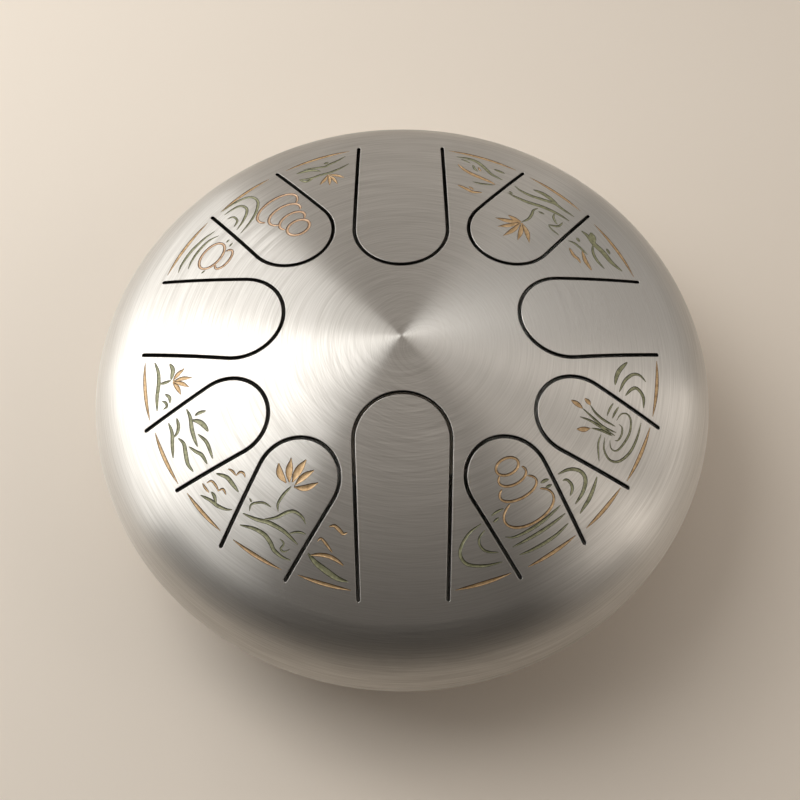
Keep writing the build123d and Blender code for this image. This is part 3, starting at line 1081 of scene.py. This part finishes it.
def cut_steel_and_shade():
    """The slots' walls: steel left dark and rough by the cutter, and darker still with painted shade so
    that the slots read black.
    """
    n = new_material("cut_steel_and_shade")
    ripple = n.noise(n.object_point(), 900.0, detail=3.0, roughness=0.6)
    return n.shade(
        # painted shade: darker than the cut's own oxide, so the slots look black
        Base_Color=n.blend(n.ramp(ripple, 0, 1), (0.035, 0.032, 0.03), (0.08, 0.075, 0.07)),
        Metallic=0.6,
        Roughness=n.ramp(ripple, 0.6, 0.8),
        Normal=n.bump(ripple, 0.00003),
    )


def rubber():
    """Black moulded rubber."""
    n = new_material("black_rubber")
    grain = n.noise(n.object_point(), 1800.0, detail=3.0, roughness=0.6)
    return n.shade(
        Base_Color=n.blend(n.ramp(grain, 0, 1), (0.012, 0.012, 0.012), (0.03, 0.03, 0.029)),
        Roughness=n.ramp(grain, 0.58, 0.75),
        Specular_IOR_Level=0.35,
        Normal=n.bump(grain, 0.00006),
    )


def plated(name, low, high, roughness):
    """Plated small parts: zinc or nickel, faintly mottled."""
    n = new_material(name)
    mottle = n.noise(n.object_point(), 500.0, detail=4.0, roughness=0.6)
    return n.shade(
        Base_Color=n.blend(n.ramp(mottle, 0, 1), low, high),
        Metallic=1.0,
        Roughness=n.ramp(mottle, roughness - 0.06, roughness + 0.06),
        Normal=n.bump(mottle, 0.00002),
    )


def plain_floor():
    """Pale matt floor paint. Far out, where the panels' light doesn't reach, it glows faintly instead."""
    n = new_material("pale_floor")
    point = n.object_point()
    cloud = n.noise(point, 2.0)
    return n.shade(
        Base_Color=n.blend(n.ramp(cloud, 0, 1), (0.90, 0.81, 0.71), (0.92, 0.83, 0.73)),
        Roughness=0.75,
        Specular_IOR_Level=0.2,
        Emission_Color=(*BACKDROP, 1.0),
        Emission_Strength=n.ramp(n.length(point), 0, FLOOR_GLOW, FLOOR_LIT, FLOOR_UNLIT),
    )


def dress_cad_nodes():
    """Materials for the CAD nodes that stay in sight."""
    finishes = {
        "magnet_": plated("nickel", (0.60, 0.57, 0.50), (0.68, 0.65, 0.58), 0.22),
        "rubber_foot_": rubber(),
        "foot_": plated("zinc", (0.52, 0.53, 0.54), (0.62, 0.63, 0.64), 0.32),
    }
    for node_name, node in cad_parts.items():
        for start, material in finishes.items():
            if node_name.startswith(start):
                node.data.materials.clear()
                node.data.materials.append(material)


# ---------------------------------------------------------------- studio


def make_floor():
    """A wide plain floor."""
    mesh = bpy.data.meshes.new("floor")
    edge = np.column_stack([circle(FLOOR_EDGE), np.zeros(SEGMENTS)])
    mesh.from_pydata(edge, [], [range(SEGMENTS)])
    mesh.materials.append(plain_floor())
    floor = bpy.data.objects.new("floor", mesh)
    bpy.context.scene.collection.objects.link(floor)


# Soft panels of light. Each: direction from the drum, distance, width, height, radiance and colour
COOL = (1.0, 1.0, 0.98)
WARM = (1.0, 0.93, 0.85)
SOFTBOXES = {
    "window_high": ((-0.55, 0.20, 0.81), 1.2, 0.8, 0.8, 2.3, COOL),
    "window_back": ((-0.60, 0.60, 0.53), 1.2, 0.8, 0.8, 1.95, COOL),
    "window_low": ((-0.90, 0.10, 0.35), 1.3, 0.9, 0.5, 2.0, COOL),
    "over_left": ((-0.32, 0.42, 0.85), 1.2, 0.35, 0.35, 0.95, COOL),
    "overhead": ((0.00, 0.12, 0.99), 1.2, 0.5, 0.5, 0.60, WARM),
    "back_low": ((0.00, 0.93, 0.36), 1.3, 1.2, 0.4, 0.75, WARM),
    "right_high": ((0.66, 0.06, 0.75), 1.3, 1.1, 0.7, 0.34, WARM),
    "right_middle": ((0.72, -0.20, 0.66), 1.2, 0.4, 0.4, 0.95, WARM),
    "right_front": ((0.70, -0.35, 0.60), 1.2, 0.6, 0.6, 0.34, WARM),
    "right_low": ((0.90, 0.00, 0.35), 1.3, 0.9, 0.5, 1.2, WARM),
}


def softbox(name, direction, distance, width, height, radiance, colour):
    """A soft rectangular light that faces the drum from a direction, as bright as its radiance."""
    light = bpy.data.lights.new(name, "AREA")
    light.shape = "RECTANGLE"
    light.size, light.size_y = width, height
    light.energy = radiance * math.pi * width * height
    light.color = colour
    lamp = bpy.data.objects.new(name, light)
    towards = Vector(direction).normalized()
    lamp.location = Vector((0, 0, EQUATOR * MM)) + towards * distance
    lamp.rotation_mode = "QUATERNION"
    lamp.rotation_quaternion = towards.to_track_quat("Z", "Y")
    bpy.context.scene.collection.objects.link(lamp)


# The room's light overhead, as radiances at shares of the way from the player's side to the far side
SKY = [(0.0, 0.015), (0.38, 0.02), (0.44, 0.03), (0.58, 0.05), (0.66, 0.52), (0.80, 0.30), (1.0, 0.25)]
SKY_TINT = (1.0, 0.935, 0.865)
NEAR_HORIZON = (0.10, 0.088, 0.075)
FAR_HORIZON = (0.36, 0.34, 0.31)
HORIZON_RISE = (0.05, 0.25)  # of a direction, over which the horizon's light turns into the sky's


def make_room():
    """A soft room: light low down all round, grey overhead, and dark over the player's side. The camera
    sees a plain pale backdrop in its place."""
    world = bpy.data.worlds.new("room")
    bpy.context.scene.world = world
    n = Nodes(world)
    _, y, z = n.split(n.new("ShaderNodeTexCoord").outputs["Generated"])
    far = n.ramp(y, 0, 1, -1, 1)
    sky = n.new("ShaderNodeValToRGB", {0: far})
    for place, _ in SKY[1:-1]:
        sky.color_ramp.elements.new(place)
    for element, (_, level) in zip(sky.color_ramp.elements, SKY):
        element.color = (*(level * part for part in SKY_TINT), 1)
    horizon = n.blend(far, NEAR_HORIZON, FAR_HORIZON)
    light = n.blend(n.ramp(z, 0, 1, *HORIZON_RISE), horizon, sky.outputs[0])
    to_camera = n.new("ShaderNodeLightPath").outputs["Is Camera Ray"]
    n.put(n.tree.nodes["Background"].inputs["Color"], n.blend(to_camera, light, BACKDROP))


def make_camera():
    """The photograph's view: from the player's side, about 64 degrees up."""
    data = bpy.data.cameras.new("camera")
    data.sensor_width = 36.0
    data.lens = FOCAL_LENGTH
    camera = bpy.data.objects.new("camera", data)
    camera.location = CAMERA_AT
    level = (Vector(CAMERA_AIM) - camera.location).to_track_quat("-Z", "Y")
    roll = Euler((0, 0, math.radians(CAMERA_ROLL))).to_quaternion()
    camera.rotation_mode = "QUATERNION"
    camera.rotation_quaternion = level @ roll
    bpy.context.scene.collection.objects.link(camera)
    bpy.context.scene.camera = camera


def make_drum():
    """Every piece of the drum that isn't a CAD node."""
    steel = brushed(
        "brushed_steel", base_low=(0.56, 0.535, 0.50), base_high=(0.66, 0.635, 0.60),
        roughness=0.35, anisotropy=0.95, scratch_depth=0.000008,
    )
    weld = brushed(
        "ground_weld", base_low=(0.50, 0.475, 0.44), base_high=(0.62, 0.60, 0.57),
        roughness=0.40, anisotropy=0.7, scratch_depth=0.00002,
    )
    # each paint's edge colour is the painted shade on its grooves' walls
    gold = paint_in_groove(
        "gold_paint", edge=(0.07, 0.04, 0.02), low=(0.42, 0.26, 0.12), high=(0.72, 0.50, 0.28),
        metallic=0.45, roughness=0.38,
    )
    green = paint_in_groove(
        "green_paint", edge=(0.028, 0.028, 0.017), low=(0.16, 0.16, 0.085), high=(0.40, 0.395, 0.24),
        metallic=0.35, roughness=0.40,
    )
    copper = paint_in_groove(
        "copper_paint", edge=(0.08, 0.045, 0.03), low=(0.44, 0.27, 0.16), high=(0.68, 0.47, 0.31),
        metallic=0.45, roughness=0.38,
    )
    finishes = [steel, gold, green, copper, cut_steel_and_shade()]
    strokes = draw_everything()
    tongues = {name: Tongue(*shape) for name, shape in TONGUES.items()}
    make_top_shell(tongues, strokes, finishes)
    for name, tongue in tongues.items():
        make_tongue(name, tongue, strokes, finishes)
    make_bottom_shell([steel])
    make_weld([weld])


make_camera()
make_drum()
dress_cad_nodes()
make_floor()
make_room()
for name, panel in SOFTBOXES.items():
    softbox(name, *panel)
bpy.context.scene.view_settings.view_transform = "Standard"
